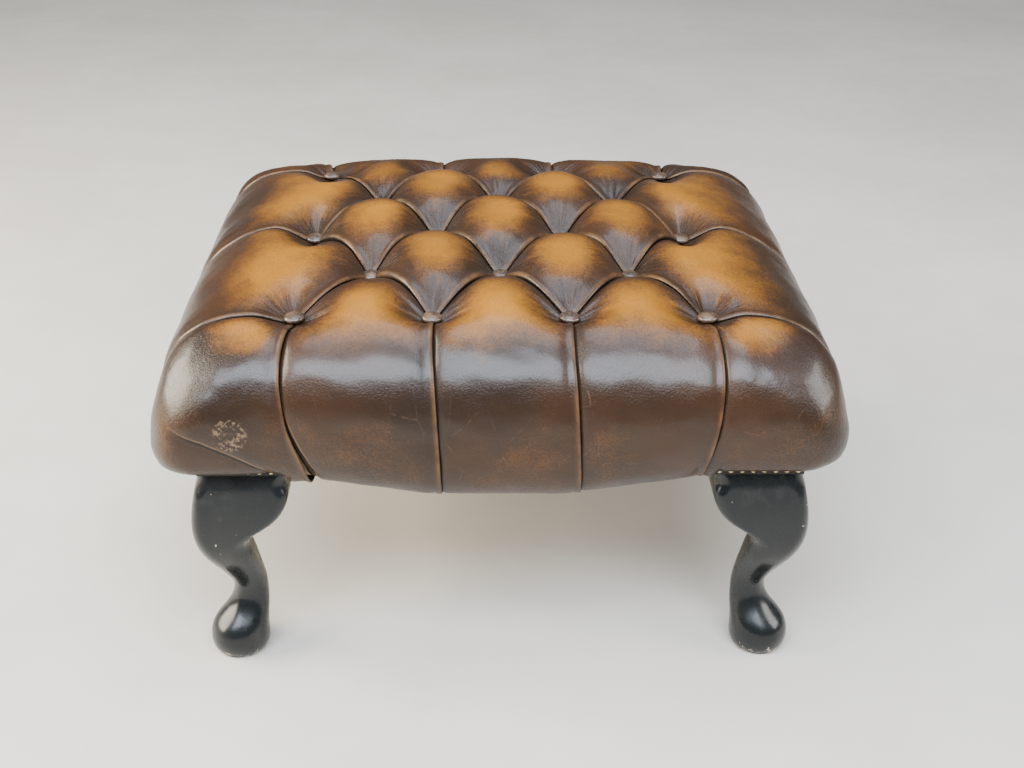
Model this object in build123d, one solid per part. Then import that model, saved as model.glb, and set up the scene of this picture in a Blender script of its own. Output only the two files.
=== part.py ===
from build123d import *
import os

# Deep-buttoned leather footstool on four cabriole legs. Millimetres, +Z up.
# Origin: on the floor, under the middle of the seat. -Y is the front, +X the right-hand side.

# ---- driving dimensions -------------------------------------------------------------------
leg_height = 198.0            # floor to the shoulder that the rails stand on
foot_x = 243.5                # centre of a pad foot, from the middle of the stool
foot_y = 230.0
post_size = 44.0              # square post on top of each leg, behind the leather
post_outer = 17.5             # outer face of the post, from the foot centre
rail_height = 64.0
rail_thickness = 24.0
deck_thickness = 12.0
button_pitch_x = 120.0
button_pitch_y = 90.0
button_rows = (4, 3, 4, 3, 4)
button_seat_z = 312.0         # leather surface under each button
button_radius = 9.5
button_thickness = 5.5
leather_thickness = 1.5
wadding_thickness = 6.0
dust_cover_thickness = 0.5

# ---- sizes that follow ----------------------------------------------------------------------
frame_x = foot_x + post_outer                 # outer faces of rails and posts
frame_y = foot_y + post_outer
rail_top = leg_height + rail_height
deck_top = rail_top + deck_thickness
inner_x = frame_x - rail_thickness            # inner faces of the rails
inner_y = frame_y - rail_thickness
post_inner_x = frame_x - post_size
post_inner_y = frame_y - post_size
wadding_inset = leather_thickness + wadding_thickness

# Cabriole leg, as squares seen from above: height, inner edge and outer edge from the foot
# centre, and corner radius. The foot is round, the ankle slim, and the knee a square block.
leg_sections = (
    (0.0, -19.0, 19.0, 18.9),
    (5.0, -25.0, 25.0, 24.9),
    (16.0, -27.0, 27.0, 26.9),
    (28.0, -27.0, 24.0, 25.4),
    (40.0, -27.5, 14.0, 20.6),
    (52.0, -27.5, 6.0, 16.6),
    (66.0, -27.0, 4.0, 15.4),
    (82.0, -25.0, 9.5, 16.0),
    (98.0, -22.5, 18.0, 17.0),
    (114.0, -19.5, 25.5, 17.0),
    (126.0, -18.0, 28.5, 15.0),
    (138.0, -26.0, 29.5, 12.0),
    (150.0, -42.0, 29.5, 11.0),
    (164.0, -53.0, 28.0, 10.0),
    (180.0, -57.0, 25.0, 10.0),
    (leg_height, -58.0, 20.0, 9.0),
)
knee_inner = -58.0            # inner faces of the knee block, from the foot centre

# The upholstered seat, as rectangles seen from above: height, half width, half depth and
# corner radius of the leather. It hugs the frame at the bottom edge, then swells.
seat_sections = (
    (leg_height, frame_x + leather_thickness, frame_y + leather_thickness, 4.0),
    (206.0, frame_x + leather_thickness, frame_y + leather_thickness, 4.0),
    (214.0, 286.0, 259.0, 30.0),
    (226.0, 302.0, 265.0, 42.0),
    (242.0, 308.0, 267.0, 46.0),
    (264.0, 306.0, 265.0, 46.0),
    (286.0, 297.0, 257.0, 46.0),
    (306.0, 281.0, 243.0, 50.0),
    (322.0, 256.0, 221.0, 56.0),
    (334.0, 218.0, 186.0, 62.0),
    (342.0, 166.0, 138.0, 66.0),
    (346.0, 100.0, 76.0, 66.0),
)
band_top = 206.0              # the edge band and its nails end here
padding_bottom = band_top + 2.0
crown_squash = 0.9            # how much of their height the inner layers keep near the crown
well_mouth_z = 350.0
well_mouth_radius = 50.0
well_floor_radius = 11.5
turn_under = 22.0             # width of leather turned under the rails

# Buttons, their strings and the washers that hold the strings
button_rim = 1.6
button_shank_radius = 1.2
twine_radius = 0.8
twine_hole_radius = 3.0
washer_radius = 9.0
washer_thickness = 3.0

# Band and nails over the edge of the leather on each leg
band_thickness = 1.2
band_margin = 0.4             # gap above and below the band
nail_pitch = 9.8
nails_per_side = 8
nail_z = (leg_height + band_top) / 2 + 0.3
first_nail_x = 3.0            # first nail on each face, in from the frame's corner
first_nail_y = 13.5
nail_head_radius = 2.6
nail_head_height = 1.8
nail_shank_radius = 0.6
nail_shank_length = 9.0

# Joints of the frame
dowel_radius = 4.0
dowel_length = 44.0
dowel_heights_x = (18.0, 46.0)    # above the rails' lower edge, in the front and rear rails
dowel_heights_y = (10.0, 32.0)    # in the side rails, clear of the others
block_reach = 84.0            # length of a corner block along each rail
block_gap = 0.5               # between a corner block and its post
block_bottom = leg_height + 8.0
block_top = rail_top - 12.0
block_screw_along = 56.0      # from the frame's inner corner, along the rail
block_screw_into = 18.0       # how far it goes into the rail
block_screw_head = 22.0       # from its head to the rail
block_screw_apart = 8.0       # above and below the middle of the block
screw_radius = 2.0
screw_head_depth = 2.6
screw_point = 5.0
deck_screw_x = (-150.0, -50.0, 50.0, 150.0)
deck_screw_y = (-120.0, 0.0, 120.0)
deck_screw_length = 34.0
brace_x = 90.0                # middle of a cross brace, between two rows of strings
brace_width = 18.0
brace_height = 30.0

# Staples and the dust cover
staple_wire = 0.6
staple_crown = 10.0
staple_leg = 6.0
staple_pitch = 24.0
staples_beside_x = 7          # staples each side of the middle one, front and rear
staples_beside_y = 6          # and along the sides
leather_staple_inset = 9.0
dust_staple_inset = 20.0
dust_staple_shift = 4.0
dust_cover_margin = 14.0      # from the frame's outer faces
dust_cover_clearance = 2.0    # round the legs
dust_cover_top = leg_height - leather_thickness - staple_wire
dust_cover_bottom = dust_cover_top - dust_cover_thickness

beyond = 400.0                # outside the stool on every side, for cutting shapes

corners = {
    "front_left": (-1, -1),
    "front_right": (1, -1),
    "rear_left": (-1, 1),
    "rear_right": (1, 1),
}


def block(x0, x1, y0, y1, z0, z1):
    """A box given by its two corners."""
    size = (abs(x1 - x0), abs(y1 - y0), abs(z1 - z0))
    return Pos((x0 + x1) / 2, (y0 + y1) / 2, (z0 + z1) / 2) * Box(*size)


def rod(start, end, radius):
    """A round rod from one point to another."""
    line = Vector(*end) - Vector(*start)
    plane = Plane(origin=start, z_dir=line)
    return extrude(plane * Circle(radius), amount=line.length)


def button_places():
    """Row, column and centre of each button, front row first, left to right."""
    places = []
    for row, count in enumerate(button_rows):
        y = (row - (len(button_rows) - 1) / 2) * button_pitch_y
        for column in range(count):
            x = (column - (count - 1) / 2) * button_pitch_x
            places.append((row + 1, column + 1, x, y))
    return places


def inner_height(z, inset):
    """Height of a seat section in an inner layer: lowered near the crown, unchanged low down."""
    crown = seat_sections[-1][0]
    return min(z, crown - inset - crown_squash * (crown - z))


def seat_form(inset):
    """Closed form of the whole seat, with its surface set in from the leather's."""
    layers = []
    for z, half_x, half_y, radius in seat_sections:
        width = 2 * (half_x - inset)
        depth = 2 * (half_y - inset)
        outline = RectangleRounded(width, depth, max(radius - inset, 1.0))
        layers.append(Pos(0, 0, inner_height(z, inset)) * outline)
    return loft(layers, ruled=True)


def button_wells(grow):
    """Tapered wells over all the buttons, grown to suit a deeper layer."""
    floor_z = button_seat_z - grow
    height = well_mouth_z - floor_z
    wells = []
    for _, _, x, y in button_places():
        cone = Cone(well_floor_radius + grow, well_mouth_radius + grow, height)
        wells.append(Pos(x, y, floor_z + height / 2) * cone)
    return wells


def seat_layer(inset):
    """The seat form with its button wells."""
    return seat_form(inset) - button_wells(inset)


def twine_channels(radius, z0, z1):
    """Straight holes or strings under all the buttons."""
    return [rod((x, y, z0), (x, y, z1), radius) for _, _, x, y in button_places()]


def make_leg(side_x, side_y):
    """Cabriole leg with its square post and dowel holes."""
    layers = []
    for z, inner, outer, radius in leg_sections:
        middle = (inner + outer) / 2
        centre = (side_x * (foot_x + middle), side_y * (foot_y + middle), z)
        layers.append(Pos(*centre) * RectangleRounded(outer - inner, outer - inner, radius))
    leg = loft(layers)
    post = block(
        side_x * post_inner_x, side_x * frame_x,
        side_y * post_inner_y, side_y * frame_y,
        leg_height - 1, rail_top,
    )
    leg = leg + post
    for tool in dowels_at(side_x, side_y) + nail_shanks(side_x, side_y):
        leg = leg - tool
    return leg


def dowels_at(side_x, side_y):
    """Two dowels into each of the two rails that meet at a corner."""
    dowels = []
    reach = dowel_length / 2
    x = side_x * (frame_x - rail_thickness / 2)
    y = side_y * (frame_y - rail_thickness / 2)
    for height in dowel_heights_x:
        start = (side_x * (post_inner_x - reach), y, leg_height + height)
        end = (side_x * (post_inner_x + reach), y, leg_height + height)
        dowels.append(rod(start, end, dowel_radius))
    for height in dowel_heights_y:
        start = (x, side_y * (post_inner_y - reach), leg_height + height)
        end = (x, side_y * (post_inner_y + reach), leg_height + height)
        dowels.append(rod(start, end, dowel_radius))
    return dowels


def make_end_rail(side_y):
    """Front or rear rail, between two posts."""
    rail = block(
        -post_inner_x, post_inner_x,
        side_y * inner_y, side_y * frame_y,
        leg_height, rail_top,
    )
    for side_x in (-1, 1):
        rail = rail - dowels_at(side_x, side_y) - block_screws(side_x, side_y)
        rail = rail - nail_shanks(side_x, side_y)
    return rail - deck_screw_shapes() - leather_staple_shapes() - dust_staple_shapes()


def make_side_rail(side_x):
    """Left or right rail, between two posts."""
    rail = block(
        side_x * inner_x, side_x * frame_x,
        -post_inner_y, post_inner_y,
        leg_height, rail_top,
    )
    for side_y in (-1, 1):
        rail = rail - dowels_at(side_x, side_y) - block_screws(side_x, side_y)
        rail = rail - nail_shanks(side_x, side_y)
    return rail - deck_screw_shapes() - leather_staple_shapes() - dust_staple_shapes()


def make_corner_block(side_x, side_y):
    """Three-cornered block, notched round the post."""
    notch_x = post_inner_x - block_gap
    notch_y = post_inner_y - block_gap
    outline = [
        (side_x * inner_x, side_y * (inner_y - block_reach)),
        (side_x * inner_x, side_y * notch_y),
        (side_x * notch_x, side_y * notch_y),
        (side_x * notch_x, side_y * inner_y),
        (side_x * (inner_x - block_reach), side_y * inner_y),
    ]
    face = make_face(Polyline(*outline, close=True))
    solid = extrude(Pos(0, 0, block_bottom) * face, amount=block_top - block_bottom, dir=(0, 0, 1))
    return solid - block_screws(side_x, side_y)


def block_screws(side_x, side_y):
    """Two screws through a corner block, one into each rail."""
    middle = (block_bottom + block_top) / 2
    x = side_x * (inner_x - block_screw_along)
    y = side_y * (inner_y - block_screw_along)
    upper = middle + block_screw_apart
    lower = middle - block_screw_apart
    first = screw((x, side_y * (inner_y - block_screw_head), upper),
                  (x, side_y * (inner_y + block_screw_into), upper))
    second = screw((side_x * (inner_x - block_screw_head), y, lower),
                   (side_x * (inner_x + block_screw_into), y, lower))
    return [first, second]


def screw(head_end, point_end):
    """Countersunk wood screw, from its head to its point."""
    line = Vector(*point_end) - Vector(*head_end)
    plane = Plane(origin=head_end, z_dir=line)
    half = [(0, 0), (2 * screw_radius, 0), (screw_radius, screw_head_depth),
            (screw_radius, line.length - screw_point), (0, line.length)]
    profile = make_face(Polyline(*half, close=True))
    body = revolve(Plane.XZ * profile, Axis.Z)
    return plane.location * body


def deck_screw_shapes():
    """Screws down through the deck into the rails."""
    places = []
    for side in (-1, 1):
        places += [(x, side * (frame_y - rail_thickness / 2)) for x in deck_screw_x]
        places += [(side * (frame_x - rail_thickness / 2), y) for y in deck_screw_y]
    return [screw((x, y, deck_top), (x, y, deck_top - deck_screw_length)) for x, y in places]


def make_cross_brace(side_x):
    """Brace between the front and rear rails, clear of the button twines."""
    x = side_x * brace_x
    half = brace_width / 2
    return block(x - half, x + half, -inner_y, inner_y, rail_top - brace_height, rail_top)


def make_seat_deck():
    """Plywood board with a hole under each button."""
    board = extrude(Pos(0, 0, rail_top) * RectangleRounded(2 * frame_x, 2 * frame_y, 6),
                    amount=deck_thickness)
    return board - twine_channels(twine_hole_radius, rail_top - 1, deck_top + 1) - deck_screw_shapes()


def make_foam_pad():
    """Foam on the deck, with a well for every button."""
    pad = seat_layer(wadding_inset) & block(-beyond, beyond, -beyond, beyond, deck_top, beyond)
    return pad - twine_channels(twine_hole_radius, deck_top - 1, button_seat_z)


def make_edge_roll(side_x, side_y):
    """Foam on the outside of one rail. Front and rear rolls fill the corners."""
    ring = seat_form(wadding_inset) & block(-beyond, beyond, -beyond, beyond, padding_bottom, deck_top)
    ring = ring - block(-frame_x, frame_x, -frame_y, frame_y, 0, beyond)
    if side_y:
        return ring & block(-beyond, beyond, side_y * frame_y, side_y * beyond, 0, beyond)
    return ring & block(side_x * frame_x, side_x * beyond, -frame_y, frame_y, 0, beyond)


def make_wadding():
    """Fibre layer between the foam and the leather."""
    layer = seat_layer(leather_thickness) - seat_layer(wadding_inset)
    layer = layer & block(-beyond, beyond, -beyond, beyond, padding_bottom, beyond)
    layer = layer - block(-frame_x, frame_x, -frame_y, frame_y, 0, rail_top)
    return layer - twine_channels(twine_hole_radius, rail_top, button_seat_z + 1)


def make_leather_cover():
    """Leather shell with button wells, turned under the rails between the legs."""
    shell = seat_layer(0) - seat_layer(leather_thickness)
    shell = shell - block(-frame_x, frame_x, -frame_y, frame_y, 0, band_top)
    shell = shell - twine_channels(twine_hole_radius / 2, rail_top, button_seat_z + 1)
    under = leg_height - leather_thickness
    edge_x = frame_x + leather_thickness
    edge_y = frame_y + leather_thickness
    free_x = foot_x + knee_inner - 1
    free_y = foot_y + knee_inner - 1
    for side in (-1, 1):
        shell = shell + block(-free_x, free_x, side * (edge_y - turn_under), side * edge_y,
                              under, leg_height)
        shell = shell + block(side * (edge_x - turn_under), side * edge_x, -free_y, free_y,
                              under, leg_height)
    for side_x, side_y in corners.values():
        shell = shell - nail_shanks(side_x, side_y)
    return shell - leather_staple_shapes() - dust_staple_shapes()


def make_button(x, y):
    """Leather-covered button, a low dome on a short shank."""
    rise = button_thickness - button_rim
    ball_radius = (button_radius ** 2 + rise ** 2) / (2 * rise)
    dome = Pos(0, 0, button_thickness - ball_radius) * Sphere(ball_radius)
    dome = dome & rod((0, 0, 0), (0, 0, button_thickness + 1), button_radius)
    shank = rod((0, 0, -leather_thickness), (0, 0, 1), button_shank_radius)
    return Pos(x, y, button_seat_z) * (dome + shank)


def make_twines():
    """Strings from the buttons down to the washers under the deck."""
    return Compound(children=twine_channels(
        twine_radius, rail_top - washer_thickness, button_seat_z - leather_thickness))


def make_twine_washers():
    """Washers that hold the strings under the deck."""
    washers = []
    for _, _, x, y in button_places():
        disc = rod((x, y, rail_top - washer_thickness), (x, y, rail_top), washer_radius)
        hole = rod((x, y, rail_top - washer_radius), (x, y, rail_top + washer_radius), twine_radius)
        washers.append(disc - hole)
    return Compound(children=washers)


def nail_places(side_x, side_y):
    """Point on the band's face and inward direction of each nail round one leg."""
    face_x = frame_x + leather_thickness + band_thickness
    face_y = frame_y + leather_thickness + band_thickness
    places = []
    for count in range(nails_per_side):
        x = side_x * (frame_x - first_nail_x - count * nail_pitch)
        places.append(((x, side_y * face_y, nail_z), (0, -side_y, 0)))
    for count in range(nails_per_side - 1):
        y = side_y * (frame_y - first_nail_y - count * nail_pitch)
        places.append(((side_x * face_x, y, nail_z), (-side_x, 0, 0)))
    return places


def nail_shanks(side_x, side_y):
    """Shanks of the brass nails round one leg."""
    shanks = []
    for point, inward in nail_places(side_x, side_y):
        end = Vector(*point) + Vector(*inward) * nail_shank_length
        shanks.append(rod(point, tuple(end), nail_shank_radius))
    return shanks


def make_nails(side_x, side_y):
    """Dome-headed nails round the top of one leg."""
    nails = []
    ball_radius = (nail_head_radius ** 2 + nail_head_height ** 2) / (2 * nail_head_height)
    for point, inward in nail_places(side_x, side_y):
        plane = Plane(origin=point, z_dir=-Vector(*inward))
        ball = plane * Pos(0, 0, nail_head_height - ball_radius) * Sphere(ball_radius)
        head = ball & extrude(plane * Circle(nail_head_radius * 1.01), amount=nail_head_height + 1)
        end = Vector(*point) + Vector(*inward) * nail_shank_length
        nails.append(head + rod(point, tuple(end), nail_shank_radius))
    return Compound(children=nails)


def make_edge_band(side_x, side_y):
    """Black band that covers the edge of the leather on top of one leg."""
    in_x = frame_x + leather_thickness
    in_y = frame_y + leather_thickness
    out_x = in_x + band_thickness
    out_y = in_y + band_thickness
    start_x = foot_x + knee_inner
    start_y = foot_y + knee_inner
    low = leg_height + band_margin
    high = band_top - band_margin
    front = block(side_x * start_x, side_x * out_x, side_y * in_y, side_y * out_y, low, high)
    side = block(side_x * in_x, side_x * out_x, side_y * start_y, side_y * out_y, low, high)
    return front + side - nail_shanks(side_x, side_y)


def staple(x, y, z, along_x):
    """Staple pointing up, with its crown hanging just below height z."""
    half = staple_crown / 2
    wire = staple_wire
    crown = block(-half, half, -wire / 2, wire / 2, -wire, 0)
    legs = [block(s * half, s * (half - wire), -wire / 2, wire / 2, -wire, staple_leg) for s in (-1, 1)]
    turn = 0 if along_x else 90
    return Pos(x, y, z) * Rot(0, 0, turn) * (crown + legs)


def staple_row(inset, z, shift):
    """Staples under all four rails, a set distance in from the frame's edge."""
    staples = []
    for side in (-1, 1):
        for step in range(-staples_beside_x, staples_beside_x + 1):
            x = step * staple_pitch + shift
            staples.append(staple(x, side * (frame_y - inset), z, True))
        for step in range(-staples_beside_y, staples_beside_y + 1):
            y = step * staple_pitch + shift
            staples.append(staple(side * (frame_x - inset), y, z, False))
    return staples


def leather_staple_shapes():
    """Staples that hold the turned-under leather."""
    return staple_row(leather_staple_inset, leg_height - leather_thickness, 0.0)


def dust_staple_shapes():
    """Staples that hold the dust cover."""
    return staple_row(dust_staple_inset, dust_cover_bottom, dust_staple_shift)


def make_dust_cover():
    """Black cloth under the frame, cut round the legs."""
    edge_x = frame_x - dust_cover_margin
    edge_y = frame_y - dust_cover_margin
    notch_x = foot_x + knee_inner - dust_cover_clearance
    notch_y = foot_y + knee_inner - dust_cover_clearance
    cloth = block(-edge_x, edge_x, -edge_y, edge_y, dust_cover_bottom, dust_cover_top)
    for side_x, side_y in corners.values():
        cloth = cloth - block(side_x * notch_x, side_x * beyond, side_y * notch_y, side_y * beyond, 0, beyond)
    return cloth - dust_staple_shapes()


def save(shape, name):
    """Write one sub-part."""
    export_step(shape, "parts/" + name + ".step")


def main():
    os.makedirs("parts", exist_ok=True)
    for name, (side_x, side_y) in corners.items():
        save(make_leg(side_x, side_y), "leg_" + name)
        save(make_corner_block(side_x, side_y), "corner_block_" + name)
        save(make_edge_band(side_x, side_y), "edge_band_" + name)
        save(make_nails(side_x, side_y), "brass_nails_" + name)
    for name, side in (("front", -1), ("rear", 1)):
        save(make_end_rail(side), name + "_rail")
        save(make_edge_roll(0, side), "edge_roll_" + name)
    for name, side in (("left", -1), ("right", 1)):
        save(make_side_rail(side), name + "_rail")
        save(make_edge_roll(side, 0), "edge_roll_" + name)
        save(make_cross_brace(side), "cross_brace_" + name)
    dowels = []
    screws = []
    for side_x, side_y in corners.values():
        dowels += dowels_at(side_x, side_y)
        screws += block_screws(side_x, side_y)
    save(Compound(children=dowels), "rail_dowels")
    save(Compound(children=screws), "corner_block_screws")
    save(make_seat_deck(), "seat_deck")
    save(Compound(children=deck_screw_shapes()), "deck_screws")
    save(make_foam_pad(), "foam_pad")
    save(make_wadding(), "fibre_wadding")
    save(make_leather_cover(), "leather_cover")
    for row, column, x, y in button_places():
        save(make_button(x, y), f"button_r{row}c{column}")
    save(make_twines(), "button_twines")
    save(make_twine_washers(), "twine_washers")
    save(Compound(children=leather_staple_shapes()), "leather_staples")
    save(make_dust_cover(), "dust_cover")
    save(Compound(children=dust_staple_shapes()), "dust_cover_staples")


main()
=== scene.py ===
import math

import bpy
import numpy as np
from mathutils import Matrix, Vector


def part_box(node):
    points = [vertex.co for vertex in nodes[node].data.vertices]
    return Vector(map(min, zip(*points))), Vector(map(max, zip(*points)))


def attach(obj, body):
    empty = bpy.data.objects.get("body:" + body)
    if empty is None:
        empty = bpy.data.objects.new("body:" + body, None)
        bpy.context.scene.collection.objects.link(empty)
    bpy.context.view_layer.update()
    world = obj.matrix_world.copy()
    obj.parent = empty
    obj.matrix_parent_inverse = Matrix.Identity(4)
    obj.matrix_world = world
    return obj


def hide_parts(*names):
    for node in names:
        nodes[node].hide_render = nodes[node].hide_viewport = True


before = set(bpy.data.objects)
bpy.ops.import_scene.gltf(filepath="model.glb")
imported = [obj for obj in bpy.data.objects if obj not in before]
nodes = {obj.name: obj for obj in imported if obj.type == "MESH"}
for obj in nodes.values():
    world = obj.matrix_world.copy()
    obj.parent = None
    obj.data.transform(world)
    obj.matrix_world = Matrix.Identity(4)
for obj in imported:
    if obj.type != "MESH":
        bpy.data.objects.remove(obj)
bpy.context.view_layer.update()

MM = 0.001


# ---- places read from the frame, in millimetres
def node_box(name):
    low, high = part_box(name)
    return np.array(low) / MM, np.array(high) / MM


def button_centre(name):
    low, high = node_box(name)
    middle = (low + high) / 2
    return np.array([middle[0], middle[1], high[2]])


button_nodes = sorted(n for n in nodes if n.startswith("button_r"))
buttons = {n: button_centre(n) for n in button_nodes}
row_names = [f"button_r{number}c" for number in range(1, 6)]
rows = [[buttons[n] for n in button_nodes if n.startswith(row_name)] for row_name in row_names]
seat_high = node_box("leather_cover")[1]
band_low, band_high = node_box("edge_band_front_left")
knee_high = node_box("leg_front_left")[1]
button_top = rows[0][0][2]
button_thickness = 5.5
well_z = button_top - button_thickness       # leather under a button
edge_x = rows[0][-1][0]                      # outer buttons, from the middle
edge_y = -rows[0][0][1]
band_x = -band_low[0]                        # outer faces of the edge bands
band_y = -band_low[1]
band_top = band_high[2]
seat_x = seat_high[0]
seat_y = seat_high[1]
crown_z = seat_high[2]
leg_inner_x = -band_high[0]
leg_inner_y = -band_high[1]


# ---- small helpers
def smooth(x, low=0.0, high=1.0):
    x = np.clip((x - low) / (high - low), 0.0, 1.0)
    return x * x * (3 - 2 * x)


def mix(a, b, weight):
    return a + (b - a) * weight


def spline(points):
    """Catmull-Rom curve through points, as a function of 0 to 1 by chord length."""
    pts = np.array(points, float)
    steps = np.linalg.norm(np.diff(pts, axis=0), axis=1)
    knots = np.concatenate([[0], np.cumsum(steps)]) / steps.sum()
    slopes = np.gradient(pts, knots, axis=0)

    def at(u):
        u = np.clip(np.asarray(u, float), 0, 1)
        i = np.clip(np.searchsorted(knots, u, side="right") - 1, 0, len(pts) - 2)
        h = knots[i + 1] - knots[i]
        x = ((u - knots[i]) / h)[..., None]
        h = h[..., None]
        return ((2 * x**3 - 3 * x**2 + 1) * pts[i] + (x**3 - 2 * x**2 + x) * h * slopes[i]
                + (3 * x**2 - 2 * x**3) * pts[i + 1] + (x**3 - x**2) * h * slopes[i + 1])

    return at


def cosine_steps(count):
    """0 to 1, crowded at both ends."""
    return (1 - np.cos(np.linspace(0, math.pi, count + 1))) / 2


def waves(p, size, seed, octaves=3):
    """Smooth random waves over points, about -1 to 1."""
    local = np.random.default_rng(seed)
    total = np.zeros(p.shape[:-1])
    for octave in range(octaves):
        for _ in range(5):
            direction = local.normal(size=3)
            direction *= 2 * math.pi / (size / 1.9**octave) / np.linalg.norm(direction)
            total += np.sin(p @ direction + local.uniform(0, 2 * math.pi)) / 1.7**octave
    return total / (2.2 * octaves)


def add_mesh(name, points, faces, attributes=None):
    mesh = bpy.data.meshes.new(name)
    mesh.from_pydata((np.asarray(points) * MM).tolist(), [], [list(map(int, f)) for f in faces])
    for key, values in (attributes or {}).items():
        values = np.asarray(values, np.float32)
        layer = mesh.attributes.new(key, "FLOAT_VECTOR" if values.ndim == 2 else "FLOAT", "POINT")
        layer.data.foreach_set("vector" if values.ndim == 2 else "value", values.reshape(-1))
    mesh.polygons.foreach_set("use_smooth", [True] * len(mesh.polygons))
    mesh.update()
    piece = bpy.data.objects.new(name, mesh)
    bpy.context.scene.collection.objects.link(piece)
    return piece


# ---- the leather cover
# The crest of the seat's edge, outwards and down from the outer row of buttons. Between the
# legs it turns under the rail; on a leg it stops at the top of the band.
side_drop = 6.5
end_drop = 11.5
end_free = [(edge_y, crown_z - end_drop), (203, 329), (225, 319), (243, 304), (256, 286),
            (263.5, 264), (seat_y - 1, 243), (264.8, 224), (259.5, 208), (250.5, 197),
             (240, 194.2), (226, 196.9)]
end_leg = [(edge_y, crown_z - end_drop), (203, 329), (225, 319), (243, 304), (256, 286),
           (263.5, 264), (seat_y - 1, 243), (265.5, 228), (263.5, 216), (259.5, 208),
           (254.5, 204.8), (band_y + 0.2, band_top - 1.5)]
side_free = [(edge_x, crown_z - side_drop), (212, 335), (240, 327), (264, 314), (283, 298),
             (296, 277), (303.5, 256), (seat_x - 2, 238), (303, 221), (291, 207),
             (268, 196), (244, 196.9)]
side_leg = [(edge_x, crown_z - side_drop), (212, 335), (240, 327), (264, 314), (283, 297),
            (294, 277), (300, 256), (seat_x - 4.5, 236), (302, 222), (296, 211.5),
            (282, 206), (band_x + 0.2, band_top - 1.5)]
profiles = {"end": (spline(end_free), spline(end_leg)), "side": (spline(side_free), spline(side_leg))}
# The middle of each edge swells out and hangs a little below the ends.
leg_start = {"end": leg_inner_x, "side": leg_inner_y}
belly_flat = {"end": 60.0, "side": 70.0}     # it swells fully up to here from the middle
belly_end = {"end": edge_x - 10, "side": edge_y}
belly_hang = {"end": 13.0, "side": 8.0}
hem_turn = (0.89, 0.955)                     # where the hem comes back up under the rail


def crown_drop(x, y):
    """How far the crest lies below the middle of the seat."""
    return (side_drop * (np.abs(x) / edge_x) ** 2.2, end_drop * (np.abs(y) / edge_y) ** 2.4)


def crest_z(x, y):
    drop_x, drop_y = crown_drop(x, y)
    return crown_z - drop_x - drop_y


def belly(kind, along):
    """Share of its full swell that an edge has at a place along it."""
    away = np.abs(along)
    if kind == "side":
        return 1 - smooth(away, belly_flat[kind], belly_end[kind])
    return np.clip((belly_end[kind] - away) / (belly_end[kind] - belly_flat[kind]), 0, 1)


def edge_point(kind, u, along):
    """Outward distance, height and profile normal of the crest at a place along one edge."""
    free, leg = profiles[kind]
    weight = smooth(np.abs(along), leg_start[kind] - 3, leg_start[kind] + 5)[..., None]
    before, after = np.clip(u - 0.01, 0, 1), np.clip(u + 0.01, 0, 1)
    here = mix(free(u), leg(u), weight)
    slope = mix(free(after), leg(after), weight) - mix(free(before), leg(before), weight)
    length = np.linalg.norm(slope, axis=-1)
    out, up = -slope[..., 1] / length, slope[..., 0] / length
    if kind == "end":
        drop = crown_drop(np.clip(along, -edge_x, edge_x), 0)[0]
    else:
        drop = crown_drop(0, np.clip(along, -edge_y, edge_y))[1]
    swell = 2.0 * smooth(u, 0.2, 0.6) + 5.0 * smooth(u, 0.6, 0.85) - 7.0 * smooth(u, 0.93, 1.0)
    distance = here[..., 0] + belly(kind, along) * swell
    lower = smooth(u, 0.35, 0.8) * (1 - smooth(u, *hem_turn))
    height = here[..., 1] - drop * (1 - smooth(u, 0.0, 0.45)) - belly(kind, along) * lower * belly_hang[kind]
    return distance, height, out, up


def fold_line(kind, start, u):
    """Where a pleat lies along its edge as it runs from its button down to the hem."""
    limit = edge_x if kind == "end" else edge_y
    side = np.sign(start)
    if abs(abs(start) - limit) < 1:
        swing = 7.0 if kind == "end" else 5.0
        pull = 14.0 if kind == "side" else (17.0 if start < 0 else 6.0)
        return start + side * (swing * np.sin(math.pi * np.clip(u * 1.25, 0, 1)) - pull * smooth(u, 0.45, 1))
    lean = 8.0 if kind == "end" else -side * 3.0
    return start + lean * smooth(u, 0.1, 0.9)


def rise(x, width, power):
    """0 at the start, 1 beyond a width, with a steep start."""
    x = np.clip(x / width, 0, 1)
    return (1 - (1 - x) ** power) ** (1 / power)


def fold_seed(start, end):
    """Random numbers that belong to one fold, whichever side of it asks."""
    middle = (np.array(start[:2]) + np.array(end[:2])) / 2
    return np.random.default_rng(int(round(middle[0] + 1000)) * 4001 + int(round(middle[1] + 1000)))


def valley(start, end, v):
    """Depth of the fold between two buttons, below the crest."""
    depth_a = crest_z(start[0], start[1]) - well_z
    depth_b = crest_z(end[0], end[1]) - well_z
    lift = fold_seed(start, end).uniform(0.60, 0.70) * (depth_a + depth_b) / 2
    return mix(depth_a, depth_b, v) - lift * np.sin(math.pi * v) ** 1.05


def fold_arc(start, end, v):
    """Plan line of the fold between two buttons, a little bowed."""
    a, b = np.array(start[:2]), np.array(end[:2])
    across = np.array([a[1] - b[1], b[0] - a[0]]) * (1 if (a[1], a[0]) < (b[1], b[0]) else -1)
    bow = fold_seed(start, end).uniform(-4, 4) / np.linalg.norm(across)
    return a + (b - a) * v[..., None] + across * bow * np.sin(math.pi * v)[..., None]


def pleat_depth(start_depth, u):
    """Depth of a pleat on its way to the hem."""
    return mix(start_depth, 5.5, smooth(u, -0.02, 0.17)) - 4.7 * smooth(u, 0.25, 0.95)


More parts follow.
